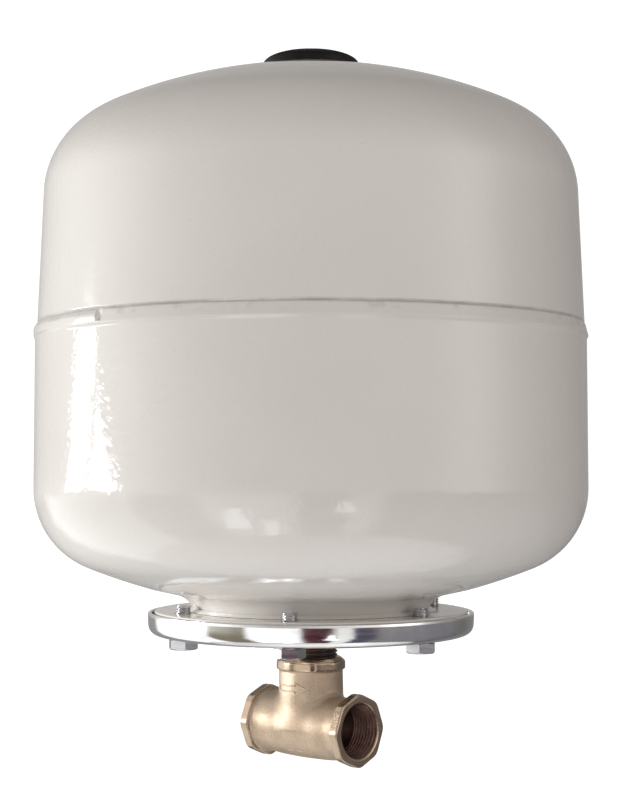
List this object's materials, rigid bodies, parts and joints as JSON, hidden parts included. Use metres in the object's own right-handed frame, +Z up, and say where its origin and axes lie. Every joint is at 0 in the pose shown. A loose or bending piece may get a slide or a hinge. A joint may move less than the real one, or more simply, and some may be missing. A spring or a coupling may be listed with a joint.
{
  "type": "expansion vessel",
  "caption": "Upright round expansion vessel of two pressed, seam-welded shells with a bolted flange, a rubber membrane, a gas valve under a round cap, and a flow-through brass tee below.",
  "frame": {"origin": "centre of the tee's run, where the vessel's axis crosses the pipe's axis", "axes": "+Z up the vessel's axis towards the gas valve, +X along the pipe run in the direction of flow, +Y to the left of the flow seen from above"},
  "size_m": [0.2738, 0.2738, 0.3532],
  "materials": {
    "white_paint": "glossy stove enamel",
    "zinc_plate": "bright zinc plate, nearly a mirror on the rolled rim",
    "zinc_bolts": "bright zinc plate",
    "dark_steel": "dark, oiled thread",
    "cast_brass": "sand cast with turned collars",
    "turned_brass": "turned",
    "rubber": "matte",
    "black_plastic": "matte moulded",
    "seal_plastic": "natural white",
    "spring_steel": "drawn wire"
  },
  "bodies": {
    "vessel": {"upper_shell": "white_paint", "lower_shell": "white_paint", "seam_weld_bead": "white_paint", "neck_weld_bead": "white_paint", "counter_flange": "white_paint", "cover_flange": "zinc_plate", "flange_bolt_1": "zinc_bolts", "flange_bolt_2": "zinc_bolts", "flange_bolt_3": "zinc_bolts", "flange_bolt_4": "zinc_bolts", "flange_bolt_5": "zinc_bolts", "flange_bolt_6": "zinc_bolts", "connection_nipple": "dark_steel", "nipple_weld_bead": "dark_steel", "thread_seal": "seal_plastic", "tee_body": "cast_brass", "flow_diverter": "seal_plastic", "valve_body": "turned_brass", "valve_gasket": "rubber", "valve_nut": "zinc_bolts", "core_plug": "turned_brass", "core_barrel": "turned_brass", "core_gasket": "seal_plastic", "core_spring": "spring_steel"},
    "membrane_crown": {"membrane": "rubber"},
    "valve_pin": {"valve_pin": "turned_brass", "seat_washer": "rubber"},
    "dust_cap": {"dust_cap": "black_plastic", "dust_cap_seal": "rubber"},
    "cover_cap": {"cover_cap": "black_plastic"}
  },
  "joints": [
    {"name": "cover_cap_lift", "type": "slide", "parent": "vessel", "child": "cover_cap", "axis": [0, 0, 1], "range_m": [0, 0.05]},
    {"name": "dust_cap_lift", "type": "slide", "parent": "vessel", "child": "dust_cap", "axis": [0, 0, 1], "range_m": [0, 0.025]},
    {"name": "valve_pin_press", "type": "slide", "parent": "vessel", "child": "valve_pin", "axis": [0, 0, -1], "range_m": [0, 0.0015], "stiffness_N_per_m": 900, "springref_m": -0.003, "deforming": ["core_spring"]},
    {"name": "membrane_lift", "type": "slide", "parent": "vessel", "child": "membrane_crown", "axis": [0, 0, 1], "range_m": [0, 0.06], "stiffness_N_per_m": 1500, "springref_m": -0.01, "deforming": ["membrane"]}
  ],
  "couplings": [
    {"joint": "dust_cap_lift", "follows": "cover_cap_lift", "ratio": 0.5}
  ]
}
